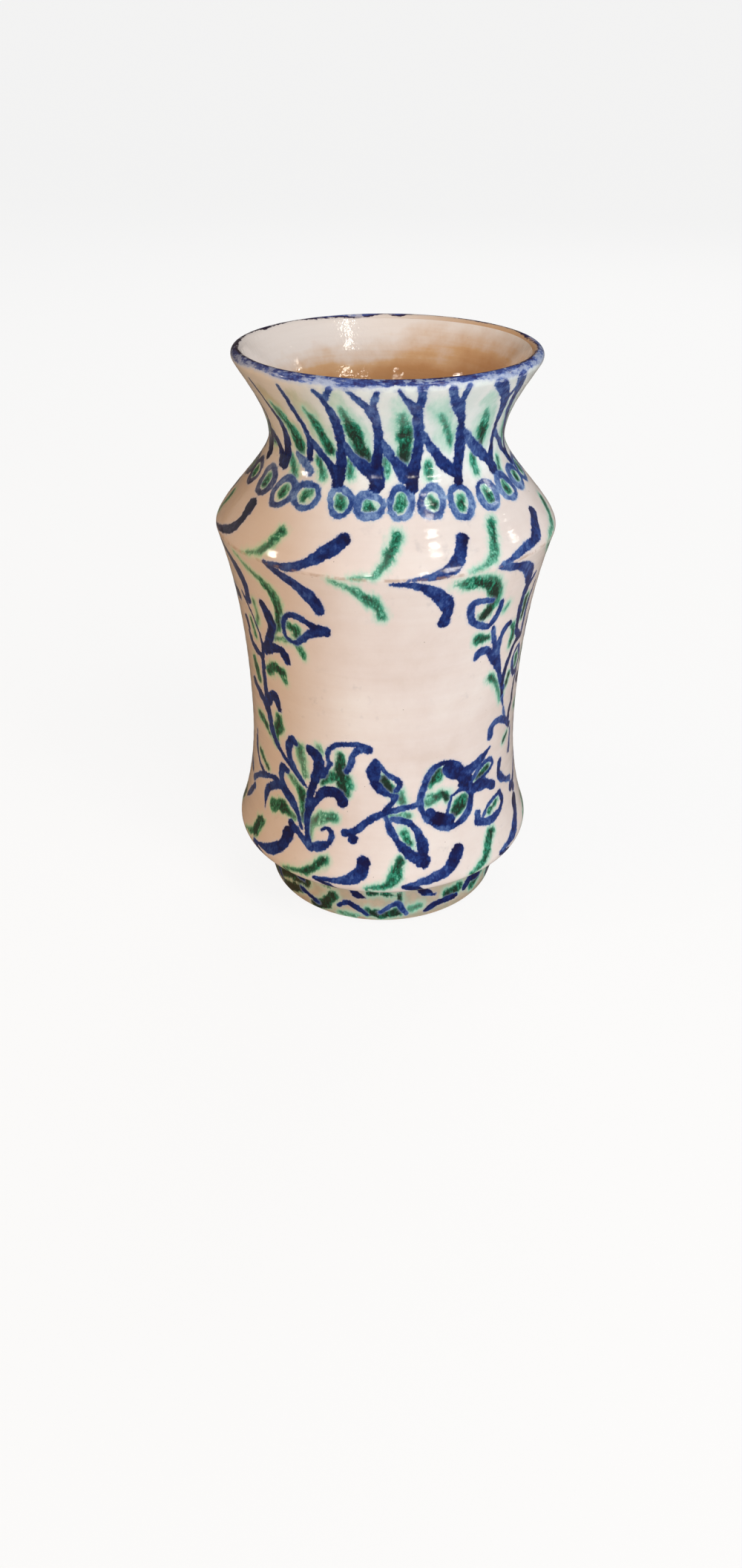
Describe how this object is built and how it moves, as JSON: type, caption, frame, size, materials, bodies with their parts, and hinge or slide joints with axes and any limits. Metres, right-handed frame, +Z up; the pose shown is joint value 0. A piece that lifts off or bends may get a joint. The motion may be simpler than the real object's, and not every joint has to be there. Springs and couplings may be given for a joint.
{
  "type": "pharmacy jar",
  "caption": "Tall waisted tin-glazed earthenware jar on a low foot, with a ridged shoulder, a drawn-in neck and a flared open mouth, painted in blue and green.",
  "frame": {"origin": "on the ground in the middle of the standing ring", "axes": "+Z up along the axis that the jar was thrown on; the front of the painting faces -Y"},
  "size_m": [0.1574, 0.1574, 0.271],
  "materials": {
    "biscuit": "matt fired clay, bare on the standing ring",
    "painted_glaze": "glossy tin glaze with brushed cobalt blue and copper green",
    "lip_glaze": "glossy, uneven cobalt blue band, worn on the crest",
    "inner_glaze": "glossy, thinner and browner towards the floor"
  },
  "bodies": {
    "root": {"foot_ring": "biscuit", "lower_body": "biscuit", "shoulder_and_neck": "biscuit", "foot_glaze": "painted_glaze", "body_glaze": "painted_glaze", "neck_glaze": "painted_glaze", "lip_glaze": "lip_glaze", "inner_glaze": "inner_glaze"}
  },
  "joints": []
}
